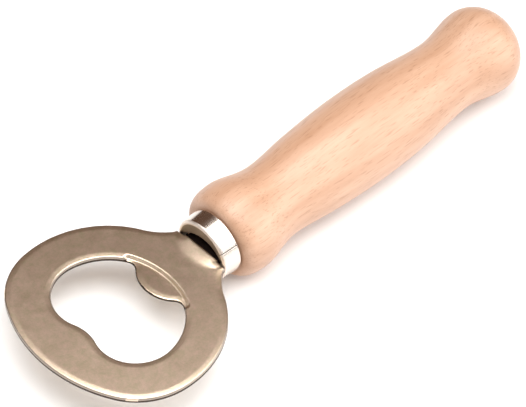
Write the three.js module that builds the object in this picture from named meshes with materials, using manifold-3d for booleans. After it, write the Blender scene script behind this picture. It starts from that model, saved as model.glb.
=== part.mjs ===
// Bottle opener: a stamped steel head, a steel ferrule and a turned beech handle.
//
// The tool frame has X along the handle's axis, from the head to the knob, with x = 0 at the ferrule's
// front rim, Y across the head, and Z up through the steel, with z = 0 at mid thickness.
// The exported group moves that frame so that the opener lies on z = 0, centred in X and Y.
// All lengths are in millimetres.
import * as THREE from 'three';
import { mergeVertices } from 'three/addons/utils/BufferGeometryUtils.js';
import Module from 'manifold-3d';

const wasm = await Module();
wasm.setup();

// Steel head. Every outline is a chain of tangent arcs, given from the head's tip side towards the handle.
const STEEL_THICKNESS = 1.9;
const HEAD_TIP_X = -53.75;
const HEAD_ARCS = [
  { radius: 41.2, turn: 28.8 },   // blunt front
  { radius: 19.2, turn: 54.7 },   // round corner
  { radius: 27.6, turn: 68.6 },   // flank, closing in on the neck
  { radius: -17.6, turn: 32.5 },  // hollow flare of the neck
];
const HOLE_CUSP_X = -39.6;
const HOLE_ARCS = [
  { radius: -11.9, turn: 19.9 },  // one side of the cusp
  { radius: 11.15, turn: 117.9 }, // lobe
  { radius: 17.2, turn: 51.8 },   // flank
  { radius: 2.9, turn: 73.2 },    // corner beside the lifting tooth
  { radius: -10.35, turn: 43.1 }, // free edge of the tooth
];
const TOOTH_STEP_RADIUS = 25.5;
const TOOTH_STEP_MID_X = -12.0;
const TOOTH_STEP_HALF_WIDTH = 9.6;
const TOOTH_THICKNESS = 0.95;

// Tang, the tongue of the same sheet that is driven into the handle.
const NECK_END_X = -0.3;
const TANG_ROOT_HALF_WIDTH = 5.9;
const TANG_END_HALF_WIDTH = 3.6;
const TANG_TAPER_X = 30;
const TANG_END_X = 42;

// Ferrule, a cap whose dished front wall has an oval opening for the tang.
const FERRULE_FRONT_RADIUS = 8.8;
const FERRULE_REAR_RADIUS = 9.2;
const FERRULE_REAR_X = 5.35;
const FERRULE_WALL = 0.75;
const FERRULE_SHOULDER = 0.65;
const FERRULE_DISH = 0.8;
const FERRULE_OPENING_HALF_WIDTH = 6.45;
const FERRULE_OPENING_HALF_HEIGHT = 3.65;

// Handle. The tenon fits the ferrule, and the waves run from the front swell to the knob.
const TENON_FRONT_X = 3.6;
const TENON_RADIUS = 8.0;
const WOOD_FACE_X = 5.65;
const WOOD_FACE_RADIUS = 9.5;
const HANDLE_WAVES = [
  { x: 12.4, radius: 12.8, slope: 0 },     // front swell
  { x: 18.7, radius: 11.5, slope: -0.27 },
  { x: 25.0, radius: 10.55, slope: 0 },    // waist
  { x: 37.5, radius: 11.65, slope: 0.075 },
  { x: 55.2, radius: 12.5, slope: 0 },     // belly
  { x: 71.0, radius: 11.88, slope: -0.09 },
  { x: 87.5, radius: 10.28, slope: 0 },    // neck of the knob
  { x: 100.1, radius: 12.2, slope: 0 },    // knob
];
const HANDLE_END_X = 110.2;
const SHOULDER_POWER = 2.5;
const TANG_SLOT_CLEARANCE = 0.35;
const TANG_SLOT_END_X = 44;

// How finely the round shapes are cut into facets.
const DEGREES_PER_CHORD = 7;
const HANDLE_FACETS = 40;
const FERRULE_FACETS = 48;

const swell = HANDLE_WAVES[0];
const knob = HANDLE_WAVES[HANDLE_WAVES.length - 1];
const MID_X = (HEAD_TIP_X + HANDLE_END_X) / 2;
const REST_HEIGHT = swell.radius;

// Points along tangent arcs from a start point, first heading along +Y. A positive radius turns towards +X.
function traceArcs(startX, arcs) {
  const points = [new THREE.Vector2(startX, 0)];
  let heading = Math.PI / 2;
  for (const { radius, turn } of arcs) {
    const steps = Math.ceil(turn / DEGREES_PER_CHORD);
    const from = points[points.length - 1];
    const centre = new THREE.Vector2(
      from.x + radius * Math.sin(heading),
      from.y - radius * Math.cos(heading),
    );
    const fullTurn = THREE.MathUtils.degToRad(turn) * Math.sign(radius);
    for (let step = 1; step <= steps; step += 1) {
      const angle = heading - (fullTurn * step) / steps;
      points.push(new THREE.Vector2(
        centre.x - radius * Math.sin(angle),
        centre.y + radius * Math.cos(angle),
      ));
    }
    heading -= fullTurn;
  }
  return points;
}

// A half outline on the +Y side, closed by its mirror image across the X axis.
function mirrorClosed(half) {
  const onAxis = (point) => Math.abs(point.y) < 0.05;
  const mirrored = half.filter((point) => !onAxis(point)).map((point) => new THREE.Vector2(point.x, -point.y));
  const snapped = half.map((point) => (onAxis(point) ? new THREE.Vector2(point.x, 0) : point));
  return [...snapped, ...mirrored.reverse()];
}

function headOutline() {
  const plate = traceArcs(HEAD_TIP_X, HEAD_ARCS).filter((point) => point.x < NECK_END_X - 0.2);
  const neckHalfWidth = plate[plate.length - 1].y - 0.4;
  return mirrorClosed([
    ...plate,
    new THREE.Vector2(NECK_END_X, neckHalfWidth),
    new THREE.Vector2(NECK_END_X, TANG_ROOT_HALF_WIDTH),
    new THREE.Vector2(TANG_TAPER_X, TANG_ROOT_HALF_WIDTH - 0.6),
    new THREE.Vector2(TANG_END_X, TANG_END_HALF_WIDTH),
  ]);
}

function toSolid(geometry) {
  const bare = geometry.index ? geometry.clone() : geometry;
  bare.deleteAttribute('normal');
  bare.deleteAttribute('uv');
  const welded = mergeVertices(bare, 1e-4);
  return new wasm.Manifold(new wasm.Mesh({
    numProp: 3,
    vertProperties: new Float32Array(welded.attributes.position.array),
    triVerts: new Uint32Array(welded.index.array),
  }));
}

function toGeometry(solid) {
  const mesh = solid.getMesh();
  const geometry = new THREE.BufferGeometry();
  geometry.setAttribute('position', new THREE.BufferAttribute(mesh.vertProperties, 3));
  geometry.setIndex(new THREE.BufferAttribute(mesh.triVerts, 1));
  return geometry;
}

function extrude(shape, bottomZ, depth) {
  const geometry = new THREE.ExtrudeGeometry(shape, { depth, bevelEnabled: false, curveSegments: 24 });
  return geometry.translate(0, 0, bottomZ);
}

// The area in front of the tooth's step that is pressed down from the top face.
function toothRecess() {
  const centreX = TOOTH_STEP_MID_X - TOOTH_STEP_RADIUS;
  const reach = Math.asin(TOOTH_STEP_HALF_WIDTH / TOOTH_STEP_RADIUS);
  const shape = new THREE.Shape();
  shape.absarc(centreX, 0, TOOTH_STEP_RADIUS, -reach, reach, false);
  shape.lineTo(HOLE_CUSP_X + 15, TOOTH_STEP_HALF_WIDTH);
  shape.lineTo(HOLE_CUSP_X + 15, -TOOTH_STEP_HALF_WIDTH);
  const floorZ = TOOTH_THICKNESS - STEEL_THICKNESS / 2;
  return extrude(shape, floorZ, STEEL_THICKNESS);
}

function headGeometry() {
  const shape = new THREE.Shape(headOutline());
  const hole = mirrorClosed(traceArcs(HOLE_CUSP_X, HOLE_ARCS)).reverse(); // opposite way round to the outline
  shape.holes.push(new THREE.Path(hole));
  const sheet = extrude(shape, -STEEL_THICKNESS / 2, STEEL_THICKNESS);
  return toGeometry(toSolid(sheet).subtract(toSolid(toothRecess())));
}

// Turns a profile of (x, radius) pairs about the X axis.
function turned(profile, facets) {
  const points = profile.map(([x, radius]) => new THREE.Vector2(radius, x));
  return new THREE.LatheGeometry(points, facets).rotateZ(-Math.PI / 2).scale(1, -1, -1);
}

function ferruleGeometry() {
  const profile = [[FERRULE_DISH, 0]];
  const rimRadius = FERRULE_FRONT_RADIUS - FERRULE_SHOULDER;
  profile.push([FERRULE_DISH, FERRULE_OPENING_HALF_WIDTH - 1.5]);
  profile.push([FERRULE_DISH / 3, rimRadius - 0.8]);
  for (let degrees = 0; degrees <= 90; degrees += 30) {
    const angle = THREE.MathUtils.degToRad(degrees);
    profile.push([
      FERRULE_SHOULDER * (1 - Math.cos(angle)),
      rimRadius + FERRULE_SHOULDER * Math.sin(angle),
    ]);
  }
  profile.push([FERRULE_REAR_X, FERRULE_REAR_RADIUS]);
  profile.push([FERRULE_REAR_X, FERRULE_REAR_RADIUS - FERRULE_WALL]);
  profile.push([FERRULE_DISH + FERRULE_WALL, FERRULE_FRONT_RADIUS - FERRULE_WALL]);
  profile.push([FERRULE_DISH + FERRULE_WALL, 0]);
  const opening = new THREE.Shape();
  opening.absellipse(0, 0, FERRULE_OPENING_HALF_HEIGHT, FERRULE_OPENING_HALF_WIDTH, 0, 2 * Math.PI);
  const cutter = extrude(opening, -1, FERRULE_REAR_X).rotateY(Math.PI / 2);
  return toGeometry(toSolid(turned(profile, FERRULE_FACETS)).subtract(toSolid(cutter)));
}

// Cubic between two waves, matching their radii and slopes.
function waveRadius(from, to, share) {
  const span = to.x - from.x;
  const rise = share * share * (3 - 2 * share);
  const leave = share * (1 - share) * (1 - share) * span * from.slope;
  const arrive = -share * share * (1 - share) * span * to.slope;
  return from.radius * (1 - rise) + to.radius * rise + leave + arrive;
}

function handleProfile() {
  const profile = [[TENON_FRONT_X, 0], [TENON_FRONT_X, TENON_RADIUS], [WOOD_FACE_X, TENON_RADIUS]];
  const shoulderLength = swell.x - WOOD_FACE_X;
  const shoulderRise = swell.radius - WOOD_FACE_RADIUS;
  for (let degrees = 0; degrees < 90; degrees += 15) {
    const along = Math.cos(THREE.MathUtils.degToRad(degrees));
    const up = (1 - along ** SHOULDER_POWER) ** (1 / SHOULDER_POWER);
    profile.push([swell.x - shoulderLength * along, WOOD_FACE_RADIUS + shoulderRise * up]);
  }
  for (let i = 0; i < HANDLE_WAVES.length - 1; i += 1) {
    const from = HANDLE_WAVES[i];
    const to = HANDLE_WAVES[i + 1];
    const steps = Math.ceil((to.x - from.x) / 3.5);
    for (let step = 0; step < steps; step += 1) {
      const share = step / steps;
      profile.push([from.x + (to.x - from.x) * share, waveRadius(from, to, share)]);
    }
  }
  for (let degrees = 0; degrees < 90; degrees += 10) {
    const angle = THREE.MathUtils.degToRad(degrees);
    profile.push([knob.x + (HANDLE_END_X - knob.x) * Math.sin(angle), knob.radius * Math.cos(angle)]);
  }
  profile.push([HANDLE_END_X, 0]);
  return profile;
}

function handleGeometry() {
  const slotLength = TANG_SLOT_END_X - TENON_FRONT_X + 1;
  const slot = new THREE.BoxGeometry(
    slotLength,
    2 * (TANG_ROOT_HALF_WIDTH + TANG_SLOT_CLEARANCE),
    STEEL_THICKNESS + 2 * TANG_SLOT_CLEARANCE,
  );
  slot.translate(TANG_SLOT_END_X - slotLength / 2, 0, 0);
  return toGeometry(toSolid(turned(handleProfile(), HANDLE_FACETS)).subtract(toSolid(slot)));
}

const satinNickel = new THREE.MeshStandardMaterial({ color: 0xa08c78, roughness: 0.35, metalness: 1 });
const brightSteel = new THREE.MeshStandardMaterial({ color: 0xd8d0c6, roughness: 0.12, metalness: 1 });
const beech = new THREE.MeshStandardMaterial({ color: 0xf3c7a0, roughness: 0.45, metalness: 0 });

const opener = new THREE.Group();
const parts = [
  ['opener_head', headGeometry(), satinNickel],
  ['ferrule', ferruleGeometry(), brightSteel],
  ['handle', handleGeometry(), beech],
];
for (const [name, geometry, material] of parts) {
  const mesh = new THREE.Mesh(geometry, material);
  mesh.name = name;
  opener.add(mesh);
}
opener.position.set(-MID_X, 0, REST_HEIGHT);

export default opener;
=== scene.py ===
"""Looks for a wooden-handled bottle opener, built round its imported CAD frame.

The shapes below are written in the tool frame, in millimetres: X along the handle's axis from the
head to the knob with x = 0 at the ferrule's front rim, Y across the head, Z up through the steel
with z = 0 at mid thickness. to_world() turns that into the frame's metres.
"""
import math

import bmesh
import bpy
import numpy as np
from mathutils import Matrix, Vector


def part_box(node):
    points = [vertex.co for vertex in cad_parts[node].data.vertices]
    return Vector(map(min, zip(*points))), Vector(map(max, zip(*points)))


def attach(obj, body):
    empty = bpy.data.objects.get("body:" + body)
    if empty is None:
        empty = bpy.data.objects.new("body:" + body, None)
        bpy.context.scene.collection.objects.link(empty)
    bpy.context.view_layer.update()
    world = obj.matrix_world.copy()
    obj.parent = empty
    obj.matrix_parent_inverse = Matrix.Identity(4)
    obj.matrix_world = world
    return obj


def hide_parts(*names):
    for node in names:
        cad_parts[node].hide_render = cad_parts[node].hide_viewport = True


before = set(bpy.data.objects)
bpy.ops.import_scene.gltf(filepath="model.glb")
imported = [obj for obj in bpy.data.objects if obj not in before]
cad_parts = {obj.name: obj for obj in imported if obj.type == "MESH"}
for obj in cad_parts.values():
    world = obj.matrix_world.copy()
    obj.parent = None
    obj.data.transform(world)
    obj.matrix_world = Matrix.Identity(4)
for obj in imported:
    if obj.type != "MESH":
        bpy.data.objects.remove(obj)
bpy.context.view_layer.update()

# ---------------------------------------------------------------- places taken from the frame
MM = 0.001
FERRULE_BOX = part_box("ferrule")
HANDLE_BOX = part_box("handle")
HEAD_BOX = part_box("opener_head")
RIM_X = FERRULE_BOX[0].x                                # the ferrule's front rim, x = 0 in the tool frame
AXIS_Z = (HANDLE_BOX[0].z + HANDLE_BOX[1].z) / 2        # height of the handle's axis
HEAD_TIP_X = (HEAD_BOX[0].x - RIM_X) / MM
TANG_END_X = (HEAD_BOX[1].x - RIM_X) / MM
STEEL_THICKNESS = (HEAD_BOX[1].z - HEAD_BOX[0].z) / MM
FERRULE_REAR_X = (FERRULE_BOX[1].x - RIM_X) / MM
FERRULE_REAR_RADIUS = (FERRULE_BOX[1].z - AXIS_Z) / MM
HANDLE_END_X = (HANDLE_BOX[1].x - RIM_X) / MM
TENON_FRONT_X = (HANDLE_BOX[0].x - RIM_X) / MM

# ---------------------------------------------------------------- steel head (mm)
# Tangent arcs as (radius, degrees turned), from the tip side towards the handle, +Y half.
HEAD_ARCS = [(41.2, 28.8), (19.2, 54.7), (27.6, 68.6), (-17.6, 32.5)]
HOLE_CUSP_X = -39.6
HOLE_ARCS = [(-11.9, 19.9), (11.15, 117.9), (17.2, 51.8), (2.9, 73.2), (-10.35, 43.1)]
NECK_END_X = -0.3
TANG_ROOT_HALF_WIDTH = 5.9
TANG_TAPER_X = 30.0
TANG_TAPER_HALF_WIDTH = 5.3
TANG_END_HALF_WIDTH = 3.6
EDGE_ROUND = 0.4
EDGE_SPREAD = 0.15            # keeps the rounded edge's outline where a sharp one would be
EDGE_ROLL_DEPTH = 0.115       # the soft fall of the faces towards every cut edge
EDGE_ROLL_WIDTH = 1.8
EDGE_NORMAL_Z = 0.9           # faces steeper than this belong to an edge
STEP_RADIUS = 25.5            # the arc where the lifting tooth is coined thinner
STEP_MID_X = -12.0
STEP_HALF_WIDTH = 11.4
STEP_SIDE_FADE = 0.5
STEP_RUN = 0.65
STEP_DEPTH = 0.95
STEP_MARGIN = 0.4             # the plating covers the step and this far beside it
TOOTH_FADE_X = (-24.0, -22.0)  # the coining stops here, inside the opening
LIP_SLOPE = 0.03              # the lip rises a little from the foot of the step to its tip
LIP_LENGTH = 8.0
RAMP_HEIGHT = 0.56            # the neck rises to the ferrule
RAMP_LENGTH = 4.2
RAMP_HALF_WIDTH = 7.9
RAMP_SOFTNESS = 0.08          # how gently the ramp starts, as a share of its length
RAMP_SIDE_FADE = 0.6
RAMP_REAR_FADE = 0.3
RAMP_UNDERSIDE_SHARE = 0.8    # the underside rises by this share of the top's rise
PAINTED_SHADE_X = 0.15               # behind this the steel is inside the ferrule and coloured near-black, painted shade
PAINTED_SHADE_TOP = 0.1             # below this height the cut walls get a near-black colour, painted contact shade
GRID_STEP = 0.2
LAYER_STEP = 0.15
CHORD_DEGREES = 2.5

# ---------------------------------------------------------------- ferrule (mm)
FERRULE_FRONT_RADIUS = FERRULE_REAR_RADIUS - 0.4
FERRULE_WALL = 0.75
FERRULE_SHOULDER = 0.8
FERRULE_DISH = 1.0
FERRULE_REAR_ROUND = 0.25
DISH_MARGIN = 0.12            # the dish stops this far inside the shoulder
OPENING_HALF_WIDTH = 6.45
OPENING_HALF_HEIGHT = 3.65
SEAM_DEGREES = 58.5           # from the top, turning towards -Y
SEAM_DEPTH = 0.25
SEAM_HALF_WIDTH = 0.11

# ---------------------------------------------------------------- handle (mm)
TENON_RADIUS = 8.0
TENON_CHAMFER = 0.3
AXIS_RING_RADIUS = 0.6        # the front cap's first ring
WOOD_FACE_X = 5.65
WOOD_FACE_RADIUS = 9.5
WOOD_FACE_ROUND = 0.5
WAVES = [  # x, radius, slope
    (12.4, 12.8, 0.0), (18.7, 11.5, -0.27), (25.0, 10.55, 0.0), (37.5, 11.65, 0.075),
    (55.2, 12.5, 0.0), (71.0, 11.88, -0.09), (87.5, 10.28, 0.0), (100.1, 12.2, 0.0),
]
SHOULDER_POWER = 2.5
HANDLE_SIDES = 192
WAVE_STEP = 0.8
PROFILE_DEGREES = 3

# ---------------------------------------------------------------- camera
CAMERA_TARGET = (22.36, 0.70, 0.0)    # mm, tool frame
CAMERA_AZIMUTH = 43.7
CAMERA_ELEVATION = 49.13
CAMERA_DISTANCE = 1.2846              # m
CAMERA_LENS = 342.5
SENSOR_WIDTH = 36.0
CAMERA_CLIP_END = 50.0                # m

# ---------------------------------------------------------------- light (metres, degrees)
WORLD_BRIGHT = (0.55, 0.55, 0.55)
WORLD_DIM = (0.13, 0.075, 0.05)
DIM_PARTS = [  # azimuth, elevation, and how far the dark and the fading reach, in degrees
    (52, 24, 40, 64),
    (214, 5, 9, 18),
]
OVERHEAD_PLACE = (-0.05, -0.05, 0.40)
OVERHEAD_AIM = (-0.05, -0.05, 0.0)
OVERHEAD_SIZE = (0.42, 0.42)
OVERHEAD_TURN = 48
OVERHEAD_RADIANCE = 4.3
SIDE_DIRECTION = (-52, 27)
SIDE_DISTANCE = 0.55
SIDE_SIZE = (0.45, 0.68)
SIDE_RADIANCE = 2.6

# ---------------------------------------------------------------- floor (m)
FLOOR_HALF_SIZE = 6.0
FLOOR_DROP = 0.0002           # keeps the floor just clear of the wood


def to_world(points):
    """Tool-frame millimetres to the frame's metres."""
    points = np.asarray(points, float) * MM
    return points + np.array([RIM_X, 0.0, AXIS_Z])


# ---------------------------------------------------------------- mesh helpers
def mesh_object(name, points, faces):
    mesh = bpy.data.meshes.new(name)
    mesh.from_pydata(to_world(points).tolist(), [], faces)
    mesh.validate()
    obj = bpy.data.objects.new(name, mesh)
    bpy.context.scene.collection.objects.link(obj)
    work = bmesh.new()
    work.from_mesh(mesh)
    bmesh.ops.remove_doubles(work, verts=work.verts, dist=1e-7)
    bmesh.ops.recalc_face_normals(work, faces=work.faces)
    work.to_mesh(mesh)
    work.free()
    mesh.shade_smooth()
    return obj


def loft(rings, closed_section):
    """Points and faces joining equal-length rings, each closed on itself, in the order given.

    The last ring is joined to the first if closed_section is true, and both are capped if not.
    """
    rings = np.asarray(rings)
    count, sides = rings.shape[:2]
    faces = []
    for i in range(count if closed_section else count - 1):
        a = i * sides
        b = ((i + 1) % count) * sides
        for j in range(sides):
            k = (j + 1) % sides
            faces.append((a + j, a + k, b + k, b + j))
    if not closed_section:
        faces.append(tuple(range(sides)))
        faces.append(tuple(reversed(range((count - 1) * sides, count * sides))))
    return rings.reshape(-1, 3), faces


def smoothstep(low, high, value):
    share = np.clip((value - low) / (high - low), 0.0, 1.0)
    return share * share * (3 - 2 * share)


# ---------------------------------------------------------------- outlines
def trace_arcs(start_x, arcs):
    """Points along tangent arcs, first heading along +Y. A positive radius turns towards +X."""
    points = [(start_x, 0.0)]
    heading = math.pi / 2
    for radius, turn in arcs:
        steps = math.ceil(turn / CHORD_DEGREES)
        centre_x = points[-1][0] + radius * math.sin(heading)
        centre_y = points[-1][1] - radius * math.cos(heading)
        full_turn = math.radians(turn) * math.copysign(1, radius)
        for step in range(1, steps + 1):
            angle = heading - full_turn * step / steps
            points.append((centre_x - radius * math.sin(angle), centre_y + radius * math.cos(angle)))
        heading -= full_turn
    return points


def mirror_closed(half):
    """The half outline on the +Y side, closed by its mirror image, with no point doubled at y = 0."""
    mirrored = [(x, -y) for x, y in reversed(half) if abs(y) > 0.05]
    return np.array(half + mirrored)


def distance_to_outline(x, y, outline):
    """Signed distance to a closed outline, negative inside."""
    points = np.stack([x.ravel(), y.ravel()], 1)
    ends = np.roll(outline, -1, axis=0)
    result = np.empty(len(points))
    for start in range(0, len(points), 8000):
        part = points[start:start + 8000, None, :]
        edge = (ends - outline)[None]
        away = part - outline[None]
        share = np.clip((away * edge).sum(2) / (edge ** 2).sum(2), 0, 1)
        gap = np.sqrt(((away - share[..., None] * edge) ** 2).sum(2).min(1))
        above = outline[None, :, 1] > part[..., 1]
        crosses = above != (ends[None, :, 1] > part[..., 1])
        slope = edge[..., 0] / np.where(edge[..., 1] == 0, 1e-12, edge[..., 1])
        side = part[..., 0] < outline[None, :, 0] + slope * (part[..., 1] - outline[None, :, 1])
        inside = (crosses & side).sum(1) % 2 == 1
        result[start:start + 8000] = np.where(inside, -gap, gap)
    return result.reshape(x.shape)


# ---------------------------------------------------------------- surface of a distance field
def surface_net(field, origin, step):
    """Quads that wrap the zero level of a field sampled on a grid (naive surface nets)."""
    shape = np.array(field.shape)
    total = np.zeros(tuple(shape - 1) + (3,))
    hits = np.zeros(tuple(shape - 1))
    quads = []
    index = np.arange(np.prod(shape - 1)).reshape(shape - 1)
    for axis in range(3):
        lower = [slice(None)] * 3
        upper = [slice(None)] * 3
        lower[axis] = slice(None, -1)
        upper[axis] = slice(1, None)
        a = field[tuple(lower)]
        b = field[tuple(upper)]
        i, j, k = np.nonzero((a < 0) != (b < 0))
        value_a = a[i, j, k]
        share = value_a / (value_a - b[i, j, k])
        corner = np.stack([i, j, k], 1)
        crossing = corner.astype(float)
        crossing[:, axis] += share
        others = [n for n in range(3) if n != axis]
        around = []
        valid = np.ones(len(corner), bool)
        for back in ((0, 0), (1, 0), (1, 1), (0, 1)):
            cell = corner.copy()
            cell[:, others[0]] -= back[0]
            cell[:, others[1]] -= back[1]
            valid &= (cell >= 0).all(1) & (cell < shape - 1).all(1)
            around.append(cell)
        around = [cell[valid] for cell in around]
        for cell in around:
            key = tuple(cell.T)
            np.add.at(total, key, crossing[valid])
            np.add.at(hits, key, 1)
        ring = np.stack([index[tuple(cell.T)] for cell in around], 1)
        flip = (value_a[valid] < 0) ^ (axis == 1)
        ring[flip] = ring[flip][:, ::-1]
        quads.append(ring)
    quads = np.concatenate(quads)
    used, compact = np.unique(quads, return_inverse=True)
    points = total.reshape(-1, 3)[used] / hits.reshape(-1)[used][:, None]
    return origin + points * step, compact.reshape(-1, 4).tolist()


# ---------------------------------------------------------------- the three pieces
def head_outline():
    """The plate, its neck and the tang as one closed outline."""
    plate = [point for point in trace_arcs(HEAD_TIP_X, HEAD_ARCS) if point[0] < NECK_END_X]
    tang = [
        (NECK_END_X, plate[-1][1] - 0.1),
        (NECK_END_X, TANG_ROOT_HALF_WIDTH),
        (TANG_TAPER_X, TANG_TAPER_HALF_WIDTH),
        (TANG_END_X, TANG_END_HALF_WIDTH),
    ]
    return mirror_closed(plate + tang)


def crown(x, y):
    """Height of the neck's ramp: straight up to a ridge at the ferrule, from a half-oval front edge."""
    across = np.minimum(np.abs(y) / RAMP_HALF_WIDTH, 0.98)  # below 1, so the length stays above zero
    length = RAMP_LENGTH * np.sqrt(1 - across ** 2)
    share = 1 + np.minimum(x - NECK_END_X, 0.0) / length
    climb = RAMP_SOFTNESS * np.logaddexp(0.0, share / RAMP_SOFTNESS)
    rise = RAMP_HEIGHT * (1 - across ** 4) * climb
    beside = 1 - smoothstep(RAMP_HALF_WIDTH - RAMP_SIDE_FADE, RAMP_HALF_WIDTH, np.abs(y))
    return rise * beside * (1 - smoothstep(0.0, RAMP_REAR_FADE, x))


def tooth_drop(x, y):
    """Depth of the coined step over the lifting tooth."""
    centre_x = STEP_MID_X - STEP_RADIUS
    radius = np.hypot(x - centre_x, y)
    slope = smoothstep(STEP_RADIUS, STEP_RADIUS - STEP_RUN, radius)
    beside = 1 - smoothstep(STEP_HALF_WIDTH - STEP_SIDE_FADE, STEP_HALF_WIDTH + STEP_SIDE_FADE, np.abs(y))
    near = smoothstep(*TOOTH_FADE_X, x)
    depth = STEP_DEPTH - LIP_SLOPE * np.clip(STEP_RADIUS - radius, 0, LIP_LENGTH)
    return depth * slope * beside * near


def build_head():
    """Samples the plate as a field of distances, wraps it in quads and gives each its material."""
    margin = 3 * GRID_STEP
    half = HEAD_BOX[1].y / MM
    top_most = STEEL_THICKNESS / 2 + RAMP_HEIGHT * 1.1
    xs = np.arange(HEAD_TIP_X - margin, TANG_END_X + margin, GRID_STEP)
    ys = np.arange(-half - margin, half + margin, GRID_STEP)
    zs = np.arange(-top_most - margin, top_most + margin, LAYER_STEP)
    x, y = np.meshgrid(xs, ys, indexing="ij")
    outer = distance_to_outline(x, y, head_outline())
    hole = distance_to_outline(x, y, mirror_closed(trace_arcs(HOLE_CUSP_X, HOLE_ARCS)))
    flat = np.maximum(outer, -hole) - EDGE_SPREAD
    roll = EDGE_ROLL_DEPTH * smoothstep(-EDGE_ROLL_WIDTH, 0.0, flat)
    swell = crown(x, y)
    top = STEEL_THICKNESS / 2 + swell - tooth_drop(x, y) - roll
    bottom = -STEEL_THICKNESS / 2 + swell * RAMP_UNDERSIDE_SHARE + roll
    z = zs[None, None, :]
    wall = np.maximum(z - top[..., None], bottom[..., None] - z) + EDGE_ROUND
    side = flat[..., None] + EDGE_ROUND
    outside = np.hypot(np.maximum(wall, 0), np.maximum(side, 0))
    field = outside + np.minimum(np.maximum(wall, side), 0) - EDGE_ROUND
    step = np.array([GRID_STEP, GRID_STEP, LAYER_STEP])
    points, faces = surface_net(field, np.array([xs[0], ys[0], zs[0]]), step)
    head = mesh_object("head", points, faces)
    head.data.materials.append(satin_nickel())
    head.data.materials.append(painted_shade_steel())
    head.data.materials.append(seam_and_painted_shade_steel())
    head.data.materials.append(burnished_edge())
    for face in head.data.polygons:
        x = (face.center.x - RIM_X) / MM
        y = face.center.y / MM
        z = (face.center.z - AXIS_Z) / MM
        from_step = STEP_RADIUS - math.hypot(x - STEP_MID_X + STEP_RADIUS, y)
        on_step = z > 0 and -STEP_MARGIN < from_step < STEP_RUN + STEP_MARGIN
        # the tang inside the ferrule is coloured near-black as painted shade
        if x > PAINTED_SHADE_X:
            face.material_index = 2
        # steep faces are cut edges; their lower part gets a near-black colour as painted shade
        elif abs(face.normal.z) < EDGE_NORMAL_Z and not on_step:
            face.material_index = 1 if z < PAINTED_SHADE_TOP else 3
    return head


def opening_radius(angle):
    """Radius of the oval opening at an angle from the top."""
    return 1 / np.hypot(np.cos(angle) / OPENING_HALF_HEIGHT, np.sin(angle) / OPENING_HALF_WIDTH)


def ferrule_section(angle):
    """Closed section (x, radius) of the ferrule's wall at an angle from the top."""
    edge = float(opening_radius(angle))
    rim = FERRULE_FRONT_RADIUS - FERRULE_SHOULDER
    bend = FERRULE_WALL * 0.45
    lip_x = FERRULE_DISH * (1 - ((edge + bend) / rim) ** 2)
    section = []
    for degrees in range(180, -1, -30):
        turn = math.radians(degrees)
        section.append((lip_x + bend * (1 - math.cos(turn)), edge + bend * (1 - math.sin(turn))))
    for radius in np.linspace(edge + bend, rim - DISH_MARGIN, 14)[1:]:
        section.append((FERRULE_DISH * (1 - (radius / rim) ** 2), radius))
    for degrees in range(0, 91, 9):
        turn = math.radians(degrees)
        section.append((
            FERRULE_SHOULDER * (1 - math.cos(turn)),
            rim + FERRULE_SHOULDER * math.sin(turn),
        ))
    span = FERRULE_REAR_X - FERRULE_SHOULDER
    for share in np.linspace(0.1, 0.93, 10):
        widening = (FERRULE_REAR_RADIUS - FERRULE_FRONT_RADIUS) * share
        section.append((FERRULE_SHOULDER + span * share, FERRULE_FRONT_RADIUS + widening))
    for degrees in range(15, 91, 15):
        turn = math.radians(degrees)
        section.append((
            FERRULE_REAR_X - FERRULE_REAR_ROUND * (1 - math.sin(turn)),
            FERRULE_REAR_RADIUS - FERRULE_REAR_ROUND * (1 - math.cos(turn)),
        ))
    inner_front = FERRULE_DISH + FERRULE_WALL
    section.append((FERRULE_REAR_X, FERRULE_REAR_RADIUS - FERRULE_WALL))
    section.append((inner_front, FERRULE_FRONT_RADIUS - FERRULE_WALL))
    section.append((inner_front, edge + bend))
    return section


def seam_depth(offset):
    """Depth of the butt seam's groove at a turn, in radians, away from its middle."""
    return SEAM_DEPTH * (1 - smoothstep(0.5, 1.3, abs(offset) * FERRULE_FRONT_RADIUS / SEAM_HALF_WIDTH))


def build_ferrule():
    """Sections all round the ferrule, closer together at the seam."""
    near_seam = 4 * SEAM_HALF_WIDTH / FERRULE_FRONT_RADIUS
    offsets = list(np.linspace(-near_seam, near_seam, 25))
    offsets += list(np.linspace(near_seam, 2 * math.pi - near_seam, 300)[1:-1])
    rings = []
    for offset in offsets:
        angle = math.radians(SEAM_DEGREES) + offset
        ring = []
        for x, radius in ferrule_section(angle):
            outside = smoothstep(FERRULE_FRONT_RADIUS - 0.5, FERRULE_FRONT_RADIUS - 0.1, radius)
            sunk = radius - seam_depth(offset) * float(outside)
            ring.append((x, -sunk * math.sin(angle), sunk * math.cos(angle)))
        rings.append(ring)
    points, faces = loft(rings, closed_section=True)
    cap = mesh_object("ferrule_cap", points, faces)
    cap.data.materials.append(polished_nickel())
    cap.data.materials.append(dull_painted_shade_nickel())
    cap.data.materials.append(painted_highlight_rim())
    cap.data.materials.append(seam_and_painted_shade_steel())
    for face in cap.data.polygons:
        x = (face.center.x - RIM_X) / MM
        radius = math.hypot(face.center.y, face.center.z - AXIS_Z) / MM
        from_seam = math.atan2(-face.center.y, face.center.z - AXIS_Z) - math.radians(SEAM_DEGREES)
        # the dished front wall and the inside get a darker nickel as painted shade
        if radius < FERRULE_FRONT_RADIUS - FERRULE_SHOULDER - 0.1:
            face.material_index = 1
        # the seam's groove gets the same near-black steel, here a real dark joint
        elif abs(from_seam) * radius < SEAM_HALF_WIDTH:
            face.material_index = 3
        # the front shoulder band gets a rougher nickel whose paler colour is a painted highlight
        elif x < FERRULE_SHOULDER * 0.8:
            face.material_index = 2
    return cap


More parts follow.
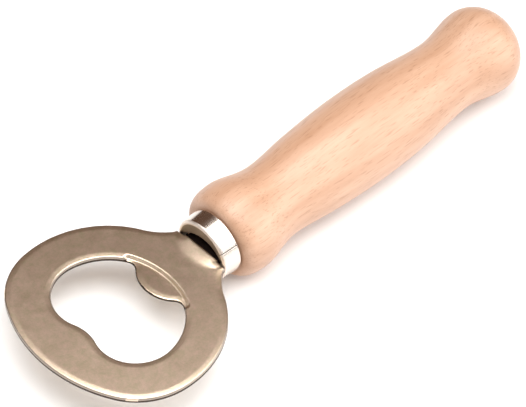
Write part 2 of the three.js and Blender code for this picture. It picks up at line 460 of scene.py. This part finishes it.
def wave_radius(start, end, share):
    """Cubic between two waves, matching their radii and slopes."""
    span = end[0] - start[0]
    rise = share * share * (3 - 2 * share)
    leave = share * (1 - share) ** 2 * span * start[2]
    arrive = -share * share * (1 - share) * span * end[2]
    return start[1] * (1 - rise) + end[1] * rise + leave + arrive


def handle_profile():
    """(x, radius) along the handle: tenon, front face, shoulder, waves and knob."""
    profile = [
        (TENON_FRONT_X, AXIS_RING_RADIUS),
        (TENON_FRONT_X, TENON_RADIUS - TENON_CHAMFER),
        (TENON_FRONT_X + TENON_CHAMFER, TENON_RADIUS),
        (WOOD_FACE_X, TENON_RADIUS),
        (WOOD_FACE_X, WOOD_FACE_RADIUS - WOOD_FACE_ROUND),
    ]
    length = WAVES[0][0] - WOOD_FACE_X
    rise = WAVES[0][1] - WOOD_FACE_RADIUS
    for degrees in np.arange(0, 90, PROFILE_DEGREES):
        along = math.cos(math.radians(degrees))
        up = (1 - along ** SHOULDER_POWER) ** (1 / SHOULDER_POWER)
        profile.append((WAVES[0][0] - length * along, WOOD_FACE_RADIUS + rise * up))
    for start, end in zip(WAVES, WAVES[1:]):
        steps = math.ceil((end[0] - start[0]) / WAVE_STEP)
        for step in range(steps):
            share = step / steps
            profile.append((start[0] + (end[0] - start[0]) * share, wave_radius(start, end, share)))
    knob_x, knob_radius = WAVES[-1][:2]
    for degrees in np.arange(0, 89, PROFILE_DEGREES):
        turn = math.radians(degrees)
        profile.append((knob_x + (HANDLE_END_X - knob_x) * math.sin(turn), knob_radius * math.cos(turn)))
    return profile


def build_handle():
    turns = np.linspace(0, 2 * math.pi, HANDLE_SIDES, endpoint=False)
    rings = []
    for x, radius in handle_profile():
        rings.append([(x, radius * math.sin(t), radius * math.cos(t)) for t in turns])
    points, faces = loft(rings, closed_section=False)
    handle = mesh_object("turned_handle", points, faces)
    handle.data.materials.append(lacquered_beech())
    return handle


# ---------------------------------------------------------------- materials
def new_material(name):
    material = bpy.data.materials.new(name)
    material.use_nodes = True
    tree = material.node_tree
    return material, tree, tree.nodes["Principled BSDF"]


def add_node(tree, kind, **inputs):
    node = tree.nodes.new(kind)
    for name, value in inputs.items():
        node.inputs[name.replace("_", " ")].default_value = value
    return node


def ramp(tree, source, stops):
    node = tree.nodes.new("ShaderNodeValToRGB")
    elements = node.color_ramp.elements
    while len(elements) < len(stops):
        elements.new(0.5)
    for element, (place, colour) in zip(elements, stops):
        element.position = place
        element.color = (*colour, 1.0)
    tree.links.new(source, node.inputs["Fac"])
    return node.outputs["Color"]


def coordinates(tree, scale):
    source = tree.nodes.new("ShaderNodeTexCoord")
    mapping = tree.nodes.new("ShaderNodeMapping")
    mapping.inputs["Scale"].default_value = scale
    tree.links.new(source.outputs["Object"], mapping.inputs["Vector"])
    return mapping.outputs["Vector"]


def noise(tree, vector, scale, detail=3.0, roughness=0.55):
    node = add_node(tree, "ShaderNodeTexNoise", Scale=scale, Detail=detail, Roughness=roughness)
    tree.links.new(vector, node.inputs["Vector"])
    return node.outputs["Fac"]


def satin_nickel():
    material, tree, shader = new_material("satin_nickel")
    place = coordinates(tree, (1, 1, 1))
    mottle = noise(tree, place, 550, 6, 0.78)
    tones = [(0.33, (0.66, 0.56, 0.38)), (0.5, (0.76, 0.61, 0.46)), (0.67, (0.86, 0.67, 0.54))]
    colour = ramp(tree, mottle, tones)
    tree.links.new(colour, shader.inputs["Base Color"])
    rough = ramp(tree, noise(tree, place, 300, 3), [(0.25, (0.29,) * 3), (0.75, (0.32,) * 3)])
    tree.links.new(rough, shader.inputs["Roughness"])
    bump = add_node(tree, "ShaderNodeBump", Strength=0.2, Distance=0.0001)
    tree.links.new(noise(tree, place, 1600, 4), bump.inputs["Height"])
    tree.links.new(bump.outputs["Normal"], shader.inputs["Normal"])
    shader.inputs["Metallic"].default_value = 1.0
    return material


def mottled_metal(name, dark, light, rough_low, rough_high):
    """Plain metal whose colour and roughness vary a little from place to place."""
    material, tree, shader = new_material(name)
    place = coordinates(tree, (1, 1, 1))
    spots = noise(tree, place, 900, 3)
    tree.links.new(ramp(tree, spots, [(0.3, dark), (0.7, light)]), shader.inputs["Base Color"])
    rough = ramp(tree, spots, [(0.3, (rough_low,) * 3), (0.7, (rough_high,) * 3)])
    tree.links.new(rough, shader.inputs["Roughness"])
    shader.inputs["Metallic"].default_value = 1.0
    return material


def burnished_edge():
    return mottled_metal("burnished_edge", (0.36, 0.30, 0.25), (0.44, 0.37, 0.31), 0.42, 0.5)


# painted shade: near-black colour on the lower cut walls, standing in for the contact shadow beneath them
def painted_shade_steel():
    return mottled_metal("painted_shade_steel", (0.05, 0.038, 0.03), (0.08, 0.06, 0.05), 0.5, 0.6)


# near-black steel: painted shade on the tang inside the ferrule, and the real dark line of the ferrule's seam
def seam_and_painted_shade_steel():
    return mottled_metal("seam_and_painted_shade_steel", (0.02, 0.012, 0.01), (0.04, 0.025, 0.02), 0.6, 0.7)


# rougher nickel for the ferrule's dished front wall and inside; its darker colour is painted shade
def dull_painted_shade_nickel():
    return mottled_metal("dull_painted_shade_nickel", (0.26, 0.21, 0.17), (0.32, 0.26, 0.21), 0.28, 0.36)


# rougher nickel for the ferrule's front shoulder; its paler colour is a painted highlight
def painted_highlight_rim():
    return mottled_metal("painted_highlight_rim", (0.80, 0.70, 0.62), (0.88, 0.78, 0.70), 0.42, 0.5)


def polished_nickel():
    material, tree, shader = new_material("polished_nickel")
    place = coordinates(tree, (0.2, 1, 1))
    colour = ramp(tree, noise(tree, place, 500, 2), [(0.3, (0.72, 0.63, 0.56)), (0.7, (0.78, 0.70, 0.63))])
    tree.links.new(colour, shader.inputs["Base Color"])
    rough = ramp(tree, noise(tree, place, 700, 3), [(0.3, (0.15,) * 3), (0.75, (0.24,) * 3)])
    tree.links.new(rough, shader.inputs["Roughness"])
    shader.inputs["Metallic"].default_value = 1.0
    return material


def lacquered_beech():
    material, tree, shader = new_material("lacquered_beech")
    streaks = noise(tree, coordinates(tree, (0.08, 1, 1)), 210, 4, 0.6)
    tones = [(0.3, (0.46, 0.255, 0.155)), (0.5, (0.52, 0.305, 0.197)), (0.72, (0.59, 0.367, 0.25))]
    base = ramp(tree, streaks, tones)
    flecks = noise(tree, coordinates(tree, (0.07, 1, 1)), 3200, 1, 0.4)
    fleck_mask = ramp(tree, flecks, [(0.60, (0, 0, 0)), (0.70, (1, 1, 1))])
    mix = tree.nodes.new("ShaderNodeMix")
    mix.data_type = "RGBA"
    mix.blend_type = "MULTIPLY"
    mix.inputs["B"].default_value = (0.80, 0.75, 0.70, 1)
    tree.links.new(fleck_mask, mix.inputs["Factor"])
    tree.links.new(base, mix.inputs["A"])
    tree.links.new(mix.outputs["Result"], shader.inputs["Base Color"])
    rough = ramp(tree, flecks, [(0.3, (0.42,) * 3), (0.7, (0.5,) * 3)])
    tree.links.new(rough, shader.inputs["Roughness"])
    shader.inputs["Specular IOR Level"].default_value = 0.38
    shader.inputs["Coat Weight"].default_value = 0.45
    shader.inputs["Coat Roughness"].default_value = 0.38
    bump = add_node(tree, "ShaderNodeBump", Strength=0.08, Distance=0.0001)
    tree.links.new(flecks, bump.inputs["Height"])
    tree.links.new(bump.outputs["Normal"], shader.inputs["Normal"])
    return material


def floor_paper():
    material, tree, shader = new_material("floor_paper")
    place = coordinates(tree, (1, 1, 1))
    colour = ramp(tree, noise(tree, place, 60, 2), [(0.3, (0.92, 0.92, 0.92)), (0.7, (0.94, 0.94, 0.94))])
    tree.links.new(colour, shader.inputs["Base Color"])
    shader.inputs["Roughness"].default_value = 0.9
    return material


# ---------------------------------------------------------------- stage
def build_floor():
    mesh = bpy.data.meshes.new("floor")
    corners = [(FLOOR_HALF_SIZE * x, FLOOR_HALF_SIZE * y, 0) for x, y in ((-1, -1), (1, -1), (1, 1), (-1, 1))]
    mesh.from_pydata(corners, [], [(0, 1, 2, 3)])
    floor = bpy.data.objects.new("floor", mesh)
    bpy.context.scene.collection.objects.link(floor)
    floor.location.z = -FLOOR_DROP
    floor.data.materials.append(floor_paper())


def direction(azimuth, elevation):
    """Unit vector at an angle from +X towards +Y, and above the horizon, in degrees."""
    a = math.radians(azimuth)
    e = math.radians(elevation)
    return Vector((math.cos(a) * math.cos(e), math.sin(a) * math.cos(e), math.sin(e)))


def area_light(name, place, aim, size, radiance, turn=0.0):
    """A rectangular panel at a place, facing the point it is aimed at and turned about that line."""
    data = bpy.data.lights.new(name, "AREA")
    data.shape = "RECTANGLE"
    data.size, data.size_y = size
    data.energy = radiance * math.pi * size[0] * size[1]
    light = bpy.data.objects.new(name, data)
    light.location = place
    light.rotation_euler = (Vector(place) - Vector(aim)).to_track_quat("Z", "Y").to_euler()
    light.rotation_euler.rotate_axis("Z", math.radians(turn))
    light.visible_camera = False
    bpy.context.scene.collection.objects.link(light)


def build_world():
    """A bright studio, dim behind the opener and in a small patch on the near side."""
    world = bpy.data.worlds.new("studio")
    bpy.context.scene.world = world
    world.use_nodes = True
    tree = world.node_tree
    sky = tree.nodes.new("ShaderNodeTexCoord").outputs["Generated"]
    share = None
    for azimuth, elevation, dark, faded in DIM_PARTS:
        dot = tree.nodes.new("ShaderNodeVectorMath")
        dot.operation = "DOT_PRODUCT"
        dot.inputs[1].default_value = direction(azimuth, elevation)
        tree.links.new(sky, dot.inputs[0])
        fade = tree.nodes.new("ShaderNodeMapRange")
        fade.interpolation_type = "SMOOTHSTEP"
        fade.inputs["From Min"].default_value = math.cos(math.radians(faded))
        fade.inputs["From Max"].default_value = math.cos(math.radians(dark))
        fade.inputs["To Min"].default_value = 1.0
        fade.inputs["To Max"].default_value = 0.0
        tree.links.new(dot.outputs["Value"], fade.inputs["Value"])
        if share is None:
            share = fade.outputs["Result"]
            continue
        product = tree.nodes.new("ShaderNodeMath")
        product.operation = "MULTIPLY"
        tree.links.new(share, product.inputs[0])
        tree.links.new(fade.outputs["Result"], product.inputs[1])
        share = product.outputs["Value"]
    colour = ramp(tree, share, [(0.0, WORLD_DIM), (1.0, WORLD_BRIGHT)])
    tree.links.new(colour, tree.nodes["Background"].inputs["Color"])


def build_camera():
    data = bpy.data.cameras.new("camera")
    data.lens = CAMERA_LENS
    data.sensor_width = SENSOR_WIDTH
    data.clip_end = CAMERA_CLIP_END
    camera = bpy.data.objects.new("camera", data)
    target = Vector(to_world(CAMERA_TARGET))
    # azimuth 0 looks along +Y and turns towards +X
    back = direction(-90 - CAMERA_AZIMUTH, CAMERA_ELEVATION)
    camera.location = target + back * CAMERA_DISTANCE
    camera.rotation_euler = back.to_track_quat("Z", "Y").to_euler()
    bpy.context.scene.collection.objects.link(camera)
    bpy.context.scene.camera = camera


# ---------------------------------------------------------------- assembly
build_camera()
build_floor()
build_world()
area_light("overhead", OVERHEAD_PLACE, OVERHEAD_AIM, OVERHEAD_SIZE, OVERHEAD_RADIANCE, OVERHEAD_TURN)
area_light("side", direction(*SIDE_DIRECTION) * SIDE_DISTANCE, (0, 0, 0), SIDE_SIZE, SIDE_RADIANCE)

for build, node, slot in (
    (build_head, "opener_head", "head_steel"),
    (build_ferrule, "ferrule", "ferrule_steel"),
    (build_handle, "handle", "handle_wood"),
):
    piece = build()
    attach(piece, "root")
    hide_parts(node)

bpy.context.scene.view_settings.view_transform = "Standard"
